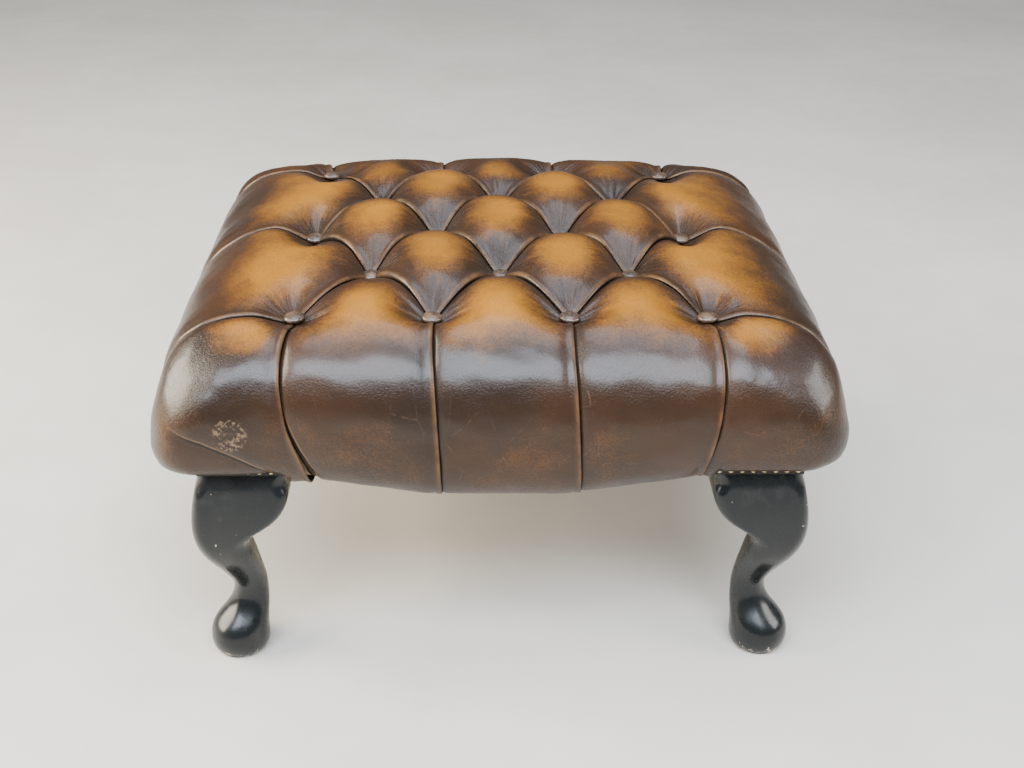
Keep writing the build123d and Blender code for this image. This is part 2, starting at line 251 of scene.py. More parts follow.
arc_steps = 40                               # points along a fold between two buttons
drop_steps = 66                              # points from the outer buttons down to the hem
across_steps = 44                            # points across a panel
lip_over = 4.0                               # how far a fold's upper edge leans over its neighbour
lip_under = 0.9
lip_height = 3.2
rim = 2.8                                    # radius of a fold's rolled edge
small_fold_depth = 1.8
small_fold_reach = 30.0                      # its distance is not kept beyond this


class Cover:
    """Collects the panels of leather between the folds."""

    def __init__(self):
        self.points, self.faces, self.extra = [], [], []
        self.count = 0

    def add(self, grid, flip, **extra):
        down, across = grid.shape[:2]
        index = np.arange(down * across).reshape(down, across) + self.count
        quads = np.stack([index[:-1, :-1], index[:-1, 1:], index[1:, 1:], index[1:, :-1]], -1)
        quads = quads.reshape(-1, 4)
        self.faces.append(quads[:, ::-1] if flip else quads)
        self.points.append(grid.reshape(-1, 3))
        self.extra.append({k: np.broadcast_to(v, (down, across)).reshape(-1) for k, v in extra.items()})
        self.count += down * across


cover = Cover()


def lip_shift(w, sign):
    """How far the leather beside a fold leans over the fold, at a distance from it."""
    return np.where(sign > 0, lip_over, lip_under) * (w / rim) * np.exp(1 - w / rim)


def dip(w, sign):
    """How far the leather dives beside a fold: a round rim above, a slope below."""
    x = np.clip(w / rim, 0, 1)
    over = 1 - np.sqrt(1 - (1 - x) ** 2)
    return np.where(sign > 0, over, np.exp(-w / 2.2))


def welt(w, sign):
    """Rounded rim along the upper edge of a fold, with a shallow groove behind it."""
    rim_line = (w / 3.4) * np.exp(-((w - 3.4) / 2.0) ** 2)
    return np.clip(sign, 0, 1) * (0.75 * rim_line - 0.6 * np.exp(-((w - 7.5) / 2.2) ** 2))


def fold_height(w, drop):
    """Height of the filling beside a fold, from 0 in it to 1 away from it."""
    face = smooth(drop, 0.0, 0.25)
    x = np.clip(w / mix(47.0, 24.0, face), 0, 1)
    return np.sin(math.pi / 2 * x) ** mix(1.0, 0.8, face)


def lip_sign(outward):
    """1 where the panel's edge lies over its neighbour, -1 where it lies under."""
    if abs(outward[1]) > 0.1:
        return 1.0 if outward[1] < 0 else -1.0
    return 1.0 if outward[0] > 0 else -1.0


def pits(plan, corners):
    """Funnel round each button at a panel's corners."""
    height = np.ones(plan.shape[:-1])
    for corner in corners:
        distance = np.linalg.norm(plan - corner[:2], axis=-1)
        nearer = smooth((corner[1] - plan[..., 1]) / np.maximum(distance, 1), 0.2, 1.0)
        height = height * rise(distance - mix(9.0, 17.0, nearer), mix(44.0, 64.0, nearer), 1.3)
    return height


def wrinkles(points, seed):
    """Fine radial wrinkles round the buttons."""
    total = np.zeros(points.shape[:-1])
    for number, centre in enumerate(buttons.values()):
        offset = points[..., :2] - centre[:2]
        distance = np.linalg.norm(offset, axis=-1)
        angle = np.arctan2(offset[..., 1], offset[..., 0])
        local = np.random.default_rng(seed + number)
        ripple = np.zeros(distance.shape)
        for count in (7, 11, 17, 23):
            ripple += np.sin(count * angle + local.uniform(0, 6.3) + distance * local.uniform(-0.03, 0.03))
        window = smooth(distance, 8, 16) * (1 - smooth(distance, 20, 52))
        total += ripple / 2.2 * window
    return total


def press_small_fold(grid, normal, small_fold):
    """Lowers a panel on one side of a small flat fold, and says how far the fold is."""
    shape = grid.shape[:2]
    if small_fold is None:
        return grid, np.full(shape, small_fold_reach), np.zeros(shape)
    distance, weight, edge = small_fold
    line = np.clip(np.broadcast_to(distance, shape), -small_fold_reach, small_fold_reach)
    shown = np.broadcast_to(weight, shape)
    under = np.where(line < 0, np.exp(line / 16), 1 - smooth(line, 0, edge))
    return grid - normal * (small_fold_depth * shown * under)[..., None], line, shown


def lay_panel(grid, normal, depth, sides, corners, drop, flip, small_fold=None):
    """Presses the folds and wells into a panel, rolls its edges and adds it to the cover.

    sides holds, for each fold beside the panel, the distance to it, whether the panel lies
    over it, the way across it, and a weight along it. small_fold holds the distance to a
    flat fold, less than 0 on the side that lies under, a weight along it, and how wide its
    edge is.
    """
    height = 1.0
    dive = 0.0
    for w, sign, move, weight in sides:
        height = height * fold_height(w, drop)
        dive = np.maximum(dive, dip(w, sign) * weight)
    near_button = 1 - smooth(drop, 0.0, 0.3)
    height = mix(height, height * pits(grid[..., :2], corners), near_button)
    inside = np.minimum.reduce([side[0] for side in sides])
    bump = 1.1 * waves(grid, 80, 5) + 0.35 * waves(grid, 30, 6) + 0.55 * wrinkles(grid, 40) * near_button
    bump = bump * smooth(inside, 0, 4) * (1 - 0.6 * smooth(drop, 0.8, 1))
    rub = np.zeros_like(inside)
    at_hem = mix(1.0, 0.6, smooth(drop, 0.1, 0.5)) * mix(1.0, 0.35, smooth(drop, 0.75, 0.95))
    offset = bump - depth * (1 - height) - lip_height * dive * at_hem
    lean = np.zeros(grid.shape)
    for w, sign, move, weight in sides:
        lean = lean + (sign * lip_shift(w, sign) * weight)[..., None] * move
        offset = offset + welt(w, sign) * weight
        rub = np.maximum(rub, np.clip(sign, 0, 1) * np.exp(-((w - 2.8) / 1.6) ** 2) * weight)
    grid = grid + normal * offset[..., None] + lean * mix(1.0, 0.6, smooth(drop, 0, 0.3))[..., None]
    grid, line, shown = press_small_fold(grid, normal, small_fold)
    # crease: nearness to a fold, which paints shade into the folds and makes them duller
    cover.add(grid, flip, crease=np.exp(-inside / 3.0), puff=height, lip=rub, drop=drop,
              small_fold=line, small_fold_shown=shown)


def diamond(near, right, far, left):
    """A full diamond between four buttons."""
    v = cosine_steps(arc_steps)
    s, t = np.meshgrid(v, v)
    # t runs along near-left and right-far; s runs along near-right and left-far
    arcs = {"nr": fold_arc(near, right, v), "lf": fold_arc(left, far, v),
            "nl": fold_arc(near, left, v), "rf": fold_arc(right, far, v)}
    deep = {"nr": valley(near, right, v), "lf": valley(left, far, v),
            "nl": valley(near, left, v), "rf": valley(right, far, v)}

    def patch(edges, s, t):
        first, last = edges["nr"], edges["lf"]
        ruled = mix(first[None, :], last[None, :], t) + mix(edges["nl"][:, None], edges["rf"][:, None], s)
        return ruled - mix(mix(first[0], first[-1], s), mix(last[0], last[-1], s), t)

    plan = patch(arcs, s[..., None], t[..., None])
    depth = patch(deep, s, t)
    edge, other = np.array(right[:2]) - near[:2], np.array(left[:2]) - near[:2]
    width = abs(edge[0] * other[1] - edge[1] * other[0]) / np.linalg.norm(edge)
    ways = {"nr": (0.83, -0.55), "lf": (-0.83, 0.55), "nl": (-0.83, -0.55), "rf": (0.83, 0.55)}
    fades = np.sin(math.pi * s) ** 0.3, np.sin(math.pi * t) ** 0.3
    sides = []
    for key, w, fade in (("nr", t * width, fades[0]), ("lf", (1 - t) * width, fades[0]),
                         ("nl", s * width, fades[1]), ("rf", (1 - s) * width, fades[1])):
        way = np.array([*ways[key], 0.0])
        sides.append((w, lip_sign(way), way, fade))
    crest = crest_z(plan[..., 0], plan[..., 1])
    grid = np.concatenate([plan, crest[..., None]], -1)
    upward = np.array([0.0, 0.0, 1.0])
    lay_panel(grid, upward, depth, sides, (near, right, far, left), np.zeros_like(s), False)


edge_axes = {"end": (0, 1), "side": (1, 0)}  # the axis along each kind of edge, and the one outwards


def panel_top(apex, first, last, v, s, spread, lean):
    """Points, width and depth of an edge panel on top, between the folds from its inner button."""
    left, right = fold_arc(apex, first, v), fold_arc(apex, last, v)
    plan = mix(left[:, None, :], right[:, None, :], s[..., None])
    crest = crest_z(plan[..., 0], plan[..., 1])
    grid = np.concatenate([plan, crest[..., None]], -1)
    width = spread * v[:, None] * lean * np.ones_like(crest)
    depth = mix(valley(apex, first, v)[:, None], valley(apex, last, v)[:, None], s)
    return grid, width, depth


def panel_drop(kind, side, first, last, u, s, lean):
    """Points, width, depth, way down and normals of an edge panel from its buttons to the hem."""
    axis, out_axis = edge_axes[kind]
    lines = [fold_line(kind, button[axis], u) for button in (first, last)]
    along = mix(lines[0][:, None], lines[1][:, None], s)
    deep = u[:, None] * np.ones_like(along)
    distance, z, out, up = edge_point(kind, deep, along)
    grid = np.zeros(along.shape + (3,))
    grid[..., axis] = along
    grid[..., out_axis] = side * distance
    grid[..., 2] = z
    width = np.abs(lines[1] - lines[0])[:, None] * mix(lean, 1.0, smooth(deep, 0, 0.12))
    pleats = [pleat_depth(crest_z(button[0], button[1]) - well_z, u)[:, None] for button in (first, last)]
    depth = mix(pleats[0], pleats[1], s)
    tilt = smooth(deep, 0.0, 0.2)
    normal = np.zeros(grid.shape)
    normal[..., out_axis] = side * out * tilt
    normal[..., 2] = mix(1.0, up, tilt)
    return grid, width, depth, deep, normal


def edge_panel(kind, side, apex, first, last):
    """Panel from an inner button, between two outer buttons, over the edge to the hem."""
    axis, out_axis = edge_axes[kind]
    v = cosine_steps(arc_steps)
    u = np.linspace(0, 1, drop_steps + 1)[1:]
    s = cosine_steps(across_steps)[None, :]
    run = np.linalg.norm(np.array(first[:2]) - apex[:2])
    lean = abs(first[out_axis] - apex[out_axis]) / run
    spread = abs(first[axis] - last[axis])
    top, width_top, depth_top = panel_top(apex, first, last, v, s, spread, lean)
    low, width_low, depth_low, deep, normal_low = panel_drop(kind, side, first, last, u, s, lean)
    grid = np.concatenate([top, low])
    width = np.concatenate([width_top, width_low])
    depth = np.concatenate([depth_top, depth_low])
    drop = np.concatenate([np.zeros(top.shape[:2]), deep])
    normal = np.concatenate([np.broadcast_to([0.0, 0.0, 1.0], top.shape), normal_low])
    normal /= np.linalg.norm(normal, axis=-1, keepdims=True)
    direction = np.zeros(3)
    direction[axis] = np.sign(last[axis] - first[axis])
    inward = np.zeros(3)
    inward[out_axis] = -side
    on_top = (np.arange(grid.shape[0]) < len(v))[:, None]
    weight = np.concatenate([np.sin(math.pi * np.clip(v, 0, 0.985)) ** 0.3,
                             mix(0.4, 1.0, smooth(u, 0.0, 0.06))])
    sides = []
    for w, turn in ((s * width, -1.0), ((1 - s) * width, 1.0)):
        arc_way = direction * turn * lean + inward * (1 - lean**2) ** 0.5
        sign = np.where(on_top, lip_sign(arc_way), lip_sign(direction * turn))
        sides.append((w, sign, np.where(on_top[..., None], arc_way, direction * turn), weight[:, None]))
    flip = (side > 0) == (axis == 0)
    flip = flip if last[axis] > first[axis] else not flip
    small_fold = None
    if kind == "end" and abs(first[0] + edge_x) < 1:
        # a second fold beside the outer left pleat, opening towards the hem
        sliver = s * width - 7.5 * smooth(drop, 0.5, 1.0)
        small_fold = (sliver, smooth(drop, 0.5, 0.62), 1.6)
    lay_panel(grid, normal, depth, sides, (apex, first, last), drop, flip, small_fold)


# The small fold where the leather is gathered under a corner, if it has one: the way round
# the corner from the end pleat, and the height, of its lower and its upper end.
corner_folds = {
    (-1, -1): (32, 205, 112, 252),
    (1, -1): None,
    (-1, 1): (84, 205, 146, 234),
    (1, 1): (60, 204, 130, 236),
}
corner_fold_edge = 8.0


def corner_fold(path, z, ends):
    """Distance to the small fold under a corner, its weight, and the width of its edge."""
    if ends is None:
        return None
    low_path, low_z, high_path, high_z = ends
    run = np.array([high_path - low_path, high_z - low_z], float)
    length = np.linalg.norm(run)
    run /= length
    along = (path - low_path) * run[0] + (z - low_z) * run[1]
    bow = 2.5 * np.sin(math.pi * np.clip(along / length, 0, 1))
    distance = (z - low_z) * run[0] - (path - low_path) * run[1] - bow
    weight = smooth(along, -12, 4) * (1 - smooth(along, length - 30, length + 2))
    return distance, weight, corner_fold_edge


# Plan radius of a corner at places on the way down.
corner_drops = [0, 0.08, 0.25, 0.5, 0.72, 0.88, 1.0]
corner_radii = [0.5, 14, 42, 54, 46, 28, 8]


def corner_steps():
    """Steps across a corner panel, from 0 to 1, crowded towards the pleats."""
    full = 300.0                             # about as long as the panel is at its widest
    close = np.array([0, 0.4, 0.9, 1.5, 2.2, 3.0, 4.0, 5.2, 7.0, 9.5, 12.5])
    between = np.linspace(close[-1], full - close[-1], 60)[1:-1]
    return np.concatenate([close, between, full - close[::-1]]) / full


def corner_crest(corner, u, s):
    """Crest of a corner panel before its folds, as if it were the corner where x and y are positive.

    Gives x, y and z, the way round the corner from the end pleat and its full length, the
    angle turned, and the normal's outward and upward parts.
    """
    deep = np.broadcast_to(u[:, None], (len(u), len(s)))
    end_line = np.abs(fold_line("end", corner[0], u))[:, None]
    side_line = np.abs(fold_line("side", corner[1], u))[:, None]
    # beyond the inner side of the leg the hem is the band's top
    half_y = edge_point("end", deep, np.full(deep.shape, leg_inner_x + 20))[0][:, :1]
    half_x = edge_point("side", deep, np.full(deep.shape, leg_inner_y + 20))[0][:, :1]
    radius = np.interp(u, corner_drops, corner_radii)[:, None]
    radius = np.minimum(radius, np.minimum(half_x - end_line, half_y - side_line))
    before = np.maximum(half_x - radius - end_line, 0)
    bend = math.pi / 2 * radius
    total = before + bend + np.maximum(half_y - radius - side_line, 0)
    path = s[None, :] * total
    angle = np.clip((path - before) / np.maximum(bend, 1e-6), 0, 1) * math.pi / 2
    x = np.where(path < before, end_line + path, half_x - radius + radius * np.sin(angle))
    past = path - before - bend
    y = np.where(path < before + bend, half_y - radius + radius * np.cos(angle), half_y - radius - past)
    turn = smooth(angle / (math.pi / 2))
    on_end = edge_point("end", deep, np.maximum(x, end_line))
    on_side = edge_point("side", deep, np.maximum(y, side_line))
    y = y + (1 - turn) * (on_end[0] - half_y)
    x = x + turn * (on_side[0] - half_x)
    z = mix(on_end[1], on_side[1], turn)
    tilt = smooth(deep, 0.0, 0.2)
    out = mix(on_end[2], on_side[2], turn) * tilt
    up = mix(1.0, mix(on_end[3], on_side[3], turn), tilt)
    return x, y, z, path, total, angle, out, up


def corner_panel(side_x, side_y, corner):
    """Panel from a corner button, round the corner of the seat to the hem."""
    u = np.linspace(0, 1, drop_steps + 1)
    s = corner_steps()
    x, y, z, path, total, angle, out, up = corner_crest(corner, u, s)
    deep = np.broadcast_to(u[:, None], x.shape)
    round_off = np.sin(math.pi * s[None, :]) ** 2 * smooth(deep, 0.02, 0.3) * (1 - smooth(deep, 0.5, 0.8))
    # the leather hangs lowest over the front left leg
    hang = 5.5 if side_x < 0 and side_y < 0 else 1.0
    z = z - 5.0 * round_off - hang * np.sin(math.pi * np.clip((deep - 0.72) / 0.28, 0, 1))
    normal = np.stack([side_x * out * np.sin(angle), side_y * out * np.cos(angle), up], -1)
    normal /= np.linalg.norm(normal, axis=-1, keepdims=True)
    grid = np.stack([side_x * x, side_y * y, z], -1)
    depth = pleat_depth(crest_z(corner[0], corner[1]) - well_z, u)[:, None]
    weight = mix(0.4, 1.0, smooth(deep, 0.0, 0.06))
    sides = []
    for w, way in ((path, np.array([-side_x, 0.0, 0])), (total - path, np.array([0.0, -side_y, 0]))):
        sides.append((w, lip_sign(way), way, weight))
    small_fold = corner_fold(path, z, corner_folds[side_x, side_y])
    lay_panel(grid, normal, depth, sides, (corner,), deep, side_x * side_y < 0, small_fold)


def wear_maps(points, extra):
    """Where the gold shows, and the place of each point round its nearest button."""
    centres = np.array(list(buttons.values()))
    offset = points[:, None, :2] - centres[None, :, :2]
    distance = np.linalg.norm(offset, axis=-1)
    nearest = distance.argmin(axis=1)
    d = distance[np.arange(len(points)), nearest]
    away = offset[np.arange(len(points)), nearest] / np.maximum(d, 1e-6)[:, None]
    ray = np.stack([away[:, 0] * 9.0 + nearest * 3.7, away[:, 1] * 9.0 + nearest * 1.9, d * 0.035], -1)
    near = smooth(d, 7, 14) * (1 - smooth(d, 18, 50)) * (1 - smooth(extra["drop"], 0.05, 0.3))
    y, drop = points[:, 1], extra["drop"]
    crest = np.clip(extra["puff"], 0, 1) ** 0.9
    gold = 1.06 * crest * (1 - smooth(drop, 0.02, 0.40))
    corner = smooth(np.abs(points[:, 0]), edge_x, edge_x + 30) * smooth(np.abs(y), edge_y - 20, edge_y + 20)
    gold = mix(gold, 1.15 * crest * smooth(drop, 0.04, 0.14) * (1 - smooth(drop, 0.18, 0.42)), corner)
    gold = gold * (1 - 0.60 * smooth(y, 130, 190)) + 0.22 * crest * smooth(drop, 0.45, 0.7)
    return {"gold": gold, "near": near, "ray": ray}


def build_cover():
    """The leather cover, panel by panel between the buttons and out to the hem."""
    for r in (1, 2, 3):
        for left, right in zip(rows[r][:-1], rows[r][1:]):
            middle = (left[0] + right[0]) / 2
            near = min(rows[r - 1], key=lambda b: abs(b[0] - middle))
            far = min(rows[r + 1], key=lambda b: abs(b[0] - middle))
            diamond(near, right, far, left)
    for side, outer, inner in ((-1, rows[0], rows[1]), (1, rows[4], rows[3])):
        for apex, first, last in zip(inner, outer[:-1], outer[1:]):
            edge_panel("end", side, apex, first, last)
    for side, pick in ((-1, 0), (1, -1)):
        for r in (1, 3):
            edge_panel("side", side, rows[r][pick], rows[r - 1][pick], rows[r + 1][pick])
    for row in (0, 4):
        for pick in (0, -1):
            corner = rows[row][pick]
            corner_panel(np.sign(corner[0]), np.sign(corner[1]), corner)
    points = np.concatenate(cover.points)
    extra = {k: np.concatenate([e[k] for e in cover.extra]) for k in cover.extra[0]}
    extra.update(wear_maps(points, extra))
    piece = add_mesh("tufted_cover", points, np.concatenate(cover.faces), extra)
    weld = piece.modifiers.new("weld", "WELD")
    weld.merge_threshold = 0.00002
    piece.data.materials.append(finishes["rubbed_leather"])
    return piece


def build_button(name, number):
    """Leather button: a dome with a rolled rim, set a little askew."""
    low, high = node_box(name)
    middle = (low + high) / 2
    radius = (high[0] - low[0]) / 2
    local = np.random.default_rng(100 + number)
    profile = spline([(0.0, 0.0), (radius * 0.45, -0.5), (radius * 0.8, -1.8), (radius * 0.98, -3.6),
                      (radius * 0.97, -5.0), (radius * 0.85, -6.4)])(np.linspace(0, 1, 15))
    around = np.linspace(0, 2 * math.pi, 41)[:-1]
    pinch = 1 + 0.012 * np.sin(9 * around + local.uniform(0, 6)) * (profile[:, :1] > radius * 0.7)
    ring = np.stack([profile[:, :1] * np.cos(around) * pinch, profile[:, :1] * np.sin(around) * pinch,
                     np.broadcast_to(profile[:, 1:], pinch.shape)], -1)
    points = np.concatenate([[[0.0, 0.0, 0.02]], ring[1:].reshape(-1, 3)])
    count = len(around)
    faces = [(0, 1 + i, 1 + (i + 1) % count) for i in range(count)]
    for row in range(len(profile) - 2):
        start = 1 + row * count
        faces += [(start + i, start + count + i, start + count + (i + 1) % count, start + (i + 1) % count)
                  for i in range(count)]
    tilt = Matrix.Rotation(math.radians(local.uniform(-5, 5)), 3, "X") @ Matrix.Rotation(
        math.radians(local.uniform(-5, 5)), 3, "Y")
    points = points @ np.array(tilt).T + [middle[0], middle[1], high[2] + 3.0]
    piece = add_mesh(name.replace("button_", "covered_button_"), points, faces)
    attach(piece, "root")
    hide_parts(name)
    piece.data.materials.append(finishes["button"])


def build_dust_cover():
    """Thin cloth stapled under the frame, sagging a little."""
    low, high = node_box("dust_cover")
    steps_x, steps_y = 96, 90
    x = np.linspace(low[0], high[0], steps_x + 1)
    y = np.linspace(low[1], high[1], steps_y + 1)
    leg_clearance = 2.0
    inner_x, inner_y = -knee_high[0] - leg_clearance, -knee_high[1] - leg_clearance
    for axis, inner, lines in ((0, inner_x, x), (1, inner_y, y)):
        for side in (-1, 1):
            nearest = np.abs(lines - side * inner).argmin()
            lines[nearest] = side * inner
    grid = np.stack(np.meshgrid(x, y, indexing="ij"), -1)
    across_x = 1 - (np.abs(grid[..., 0]) / high[0]) ** 2
    across_y = 1 - (np.abs(grid[..., 1]) / high[1]) ** 2
    sag = 5.0 * np.clip(across_x * across_y, 0, 1)
    flat = np.concatenate([grid, np.zeros(grid.shape[:2] + (1,))], -1)
    ripple = (0.5 * waves(flat, 60, 9) + 0.3 * waves(flat, 24, 10)) * np.clip(across_x * across_y * 3, 0, 1)
    z = high[2] - 0.1 - sag + ripple
    points = np.concatenate([grid, z[..., None]], -1).reshape(-1, 3)
    index = np.arange(len(points)).reshape(grid.shape[:2])
    faces = []
    for i in range(steps_x):
        for j in range(steps_y):
            mid_x, mid_y = (x[i] + x[i + 1]) / 2, (y[j] + y[j + 1]) / 2
            if abs(mid_x) < inner_x or abs(mid_y) < inner_y:
                faces.append((index[i, j], index[i, j + 1], index[i + 1, j + 1], index[i + 1, j]))
    used = sorted({corner for face in faces for corner in face})
    renumber = {old: new for new, old in enumerate(used)}
    piece = add_mesh("stapled_dust_cover", points[used], [[renumber[c] for c in face] for face in faces])
    shell = piece.modifiers.new("cloth_thickness", "SOLIDIFY")
    shell.thickness = 0.4 * MM
    shell.offset = 0
    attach(piece, "root")
    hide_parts("dust_cover")
    piece.data.materials.append(finishes["dust_cloth"])


# ---- materials
class Shader:
    """A Principled material with short calls for the nodes in front of it."""

    def __init__(self, name, **sockets):
        self.material = bpy.data.materials.new(name)
        self.material.use_nodes = True
        tree = self.material.node_tree
        self.nodes, self.links = tree.nodes, tree.links
        self.main = tree.nodes["Principled BSDF"]
        self.place = self.nodes.new("ShaderNodeTexCoord").outputs["Object"]
        self.bumps = None
        for key, value in sockets.items():
            self.main.inputs[key.replace("_", " ")].default_value = value

    def feed(self, socket, value):
        if isinstance(value, bpy.types.NodeSocket):
            self.links.new(value, socket)
        elif isinstance(value, tuple) and len(value) == 3 and socket.type == "RGBA":
            socket.default_value = (*value, 1)
        else:
            socket.default_value = value

    def node(self, kind, **inputs):
        """Adds a node and feeds its inputs by name."""
        node = self.nodes.new("ShaderNode" + kind)
        for name, value in inputs.items():
            self.feed(node.inputs[name.replace("_", " ")], value)
        return node

    def scaled(self, factors, turn=(0, 0, 0)):
        return self.node("Mapping", Vector=self.place, Scale=factors, Rotation=turn).outputs["Vector"]

    def noise(self, scale, detail=3.0, rough=0.5, warp=0.0, source=None):
        node = self.node("TexNoise", Vector=source or self.place, Scale=scale, Detail=detail,
                         Roughness=rough, Distortion=warp)
        return node.outputs["Fac"]

    def cells(self, scale, feature="F1", source=None, random=1.0):
        node = self.node("TexVoronoi", Vector=source or self.place, Scale=scale, Randomness=random)
        node.feature = feature
        return node.outputs["Distance"]

    def bands(self, scale, axis="X", warp=0.0, source=None):
        node = self.node("TexWave", Vector=source or self.place, Scale=scale, Distortion=warp)
        node.bands_direction = axis
        return node.outputs["Fac"]

    def carried(self, name, output="Fac"):
        node = self.node("Attribute")
        node.attribute_name = name
        return node.outputs[output]

    def vector(self, kind, a, b):
        """Vector sum of a and b, or the distance between them."""
        node = self.nodes.new("ShaderNodeVectorMath")
        node.operation = kind
        self.feed(node.inputs[0], a)
        self.feed(node.inputs[1], b)
        return node.outputs["Value" if kind == "DISTANCE" else "Vector"]

    def calc(self, kind, a, b=0.0):
        node = self.nodes.new("ShaderNodeMath")
        node.operation = kind
        self.feed(node.inputs[0], a)
        self.feed(node.inputs[1], b)
        return node.outputs[0]

    def plus(self, a, b):
        return self.calc("ADD", a, b)

    def minus(self, a, b):
        return self.calc("SUBTRACT", a, b)

    def times(self, a, b):
        return self.calc("MULTIPLY", a, b)

    def span(self, value, low, high, start=0.0, end=1.0):
        """Start to end, smoothly, as the value goes from low to high."""
        node = self.nodes.new("ShaderNodeMapRange")
        node.interpolation_type = "SMOOTHSTEP"
        self.feed(node.inputs["Value"], value)
        for key, number in zip(("From Min", "From Max", "To Min", "To Max"), (low, high, start, end)):
            node.inputs[key].default_value = number
        return node.outputs["Result"]

    def blend(self, weight, a, b):
        node = self.nodes.new("ShaderNodeMix")
        node.data_type = "RGBA"
        self.feed(node.inputs["Factor"], weight)
        self.feed(node.inputs["A"], a)
        self.feed(node.inputs["B"], b)
        return node.outputs["Result"]

    def colour(self, value):
        self.feed(self.main.inputs["Base Color"], value)

    def rough(self, value):
        self.feed(self.main.inputs["Roughness"], value)

    def bump(self, height, depth, strength=1.0):
        """Adds relief, its depth in metres, on top of any that came before."""
        node = self.node("Bump", Strength=strength, Distance=depth, Height=height)
        if self.bumps:
            self.feed(node.inputs["Normal"], self.bumps)
        self.bumps = node.outputs["Normal"]
        self.feed(self.main.inputs["Normal"], self.bumps)


def leather_grain(m, depth):
    """Fine pebbles about 2 mm across, with smaller ones between."""
    wander = m.node("TexNoise", Vector=m.place, Scale=140.0)
    shift = m.node("VectorMath")
    shift.operation = "SCALE"
    m.feed(shift.inputs[0], wander.outputs["Color"])
    shift.inputs["Scale"].default_value = 0.003
    place = m.vector("ADD", m.place, shift.outputs[0])
    large = m.cells(560, "SMOOTH_F1", place)
    small = m.cells(1250, "F1", place)
    pebbles = m.plus(m.times(large, 0.7), m.times(small, 0.3))
    m.bump(m.minus(1.0, pebbles), depth, 0.8)
    return pebbles


scuff_centre = (-0.229, -0.260, 0.247)       # under the front left corner
scuff_radius = 0.011


def scuff(m, centre, radius):
    """A small broken ring where something has worn through the finish."""
    ring = m.calc("ABSOLUTE", m.minus(m.vector("DISTANCE", m.place, centre), radius))
    broken = m.span(m.noise(330, 3, 0.6), 0.48, 0.62)
    return m.times(m.span(ring, 0.2 * radius, 0.6 * radius, 1.0, 0.0), broken)


def rub_amount(m, pebbles, near, ray):
    """How much of the dark finish is rubbed away, from under 0 to over 1."""
    gold = m.carried("gold")
    cloud = m.noise(13, 4, 0.6)
    blotch = m.noise(48, 5, 0.65)
    uneven = m.plus(m.minus(cloud, 0.5), m.times(m.minus(blotch, 0.5), 0.40))
    streak = m.noise(1.0, 4, 0.65, 0.0, ray)
    streaks = m.times(m.times(m.minus(streak, 0.5), near), 1.5)
    grained = m.times(m.minus(0.42, pebbles), 0.5)
    return m.plus(m.plus(m.plus(gold, uneven), streaks), grained)


def rubbed_shade(m, rub):
    """Dark brown through amber to gold, as the finish is rubbed away."""
    patches = m.span(m.noise(8, 3, 0.6), 0.35, 0.7)
    brown = m.blend(patches, (0.0170, 0.0078, 0.0036), (0.0330, 0.0128, 0.0042))
    warm = m.blend(m.span(rub, 0.15, 0.65), brown, (0.085, 0.031, 0.0045))
    amber = m.blend(m.span(rub, 0.40, 1.00), warm, (0.185, 0.069, 0.0045))
    return m.blend(m.span(rub, 0.70, 1.40), amber, (0.285, 0.106, 0.0030))


def show_small_folds(m, shade):
    """Small flat folds: a line of painted shade in the gap, with a worn edge just above it. Gives the colour
    and the mask of the painted gap shade.
    """
    shown = m.carried("small_fold_shown")
    line = m.carried("small_fold")
    # mask where shade is painted into the small fold's gap
    gap_shade = m.times(m.span(m.calc("ABSOLUTE", line), 0.3, 1.7, 1.0, 0.0), shown)
    from_edge = m.calc("ABSOLUTE", m.minus(line, 2.4))
    worn_edge = m.times(m.span(from_edge, 0.2, 1.5, 1.0, 0.0), shown)
    shade = m.blend(m.times(worn_edge, 0.30), shade, (0.30, 0.15, 0.06))
    m.bump(m.times(m.span(line, -1.2, 1.6), shown), 0.0022, 1.0)
    # painted shade: near-black colour in the fold's gap
    return m.blend(m.times(gap_shade, 0.9), shade, (0.007, 0.0045, 0.003)), gap_shade


def scratches(m):
    """Fine broken scratches in the finish."""
    scratch = m.cells(26, "DISTANCE_TO_EDGE", m.scaled((1.0, 1.0, 0.45), (0.5, 0.3, 0.8)))
    broken = m.times(m.span(m.noise(24, 3), 0.52, 0.62), m.span(m.noise(150, 3), 0.4, 0.6))
    return m.times(m.span(scratch, 0.0, 0.008, 1.0, 0.0), broken)


def rubbed_leather():
    """Dark brown leather rubbed to gold on the crests; the folds are duller and have painted shade, a
    near-black colour.
    """
    m = Shader("rubbed_leather", Coat_Weight=0.32, Coat_Roughness=0.21, Specular_IOR_Level=0.26)
    crease, lip, near = m.carried("crease"), m.carried("lip"), m.carried("near")
    ray = m.carried("ray", "Vector")
    rub = rub_amount(m, leather_grain(m, 0.00045), near, ray)
    worn_lip = m.times(lip, m.span(m.noise(45, 4, 0.6), 0.36, 0.64, 0.2, 1.0))
    edged = m.blend(m.times(worn_lip, 0.28), rubbed_shade(m, rub), (0.360, 0.170, 0.055))
    # painted shade: the colour turns near black towards the folds
    deep = m.blend(m.span(crease, 0.30, 0.95), edged, (0.008, 0.005, 0.0035))
    folded, gap_shade = show_small_folds(m, deep)
    scratched = m.blend(m.times(scratches(m), 0.16), folded, (0.22, 0.13, 0.08))
    scuffed = m.times(scuff(m, scuff_centre, scuff_radius), 0.32)
    m.colour(m.blend(scuffed, scratched, (0.40, 0.26, 0.15)))
    light = m.span(rub, 0.1, 1.3)
    matt = m.plus(m.span(light, 0.0, 1.0, 0.34, 0.48), m.times(m.noise(120, 3), 0.06))
    m.rough(m.plus(matt, m.plus(m.times(crease, 0.2), m.times(gap_shade, 0.5))))
    m.bump(m.times(m.noise(1.0, 3, 0.55, 0.0, ray), near), 0.0030, 0.6)
    m.bump(m.noise(90, 4, 0.65), 0.0004, 0.3)
    return m.material


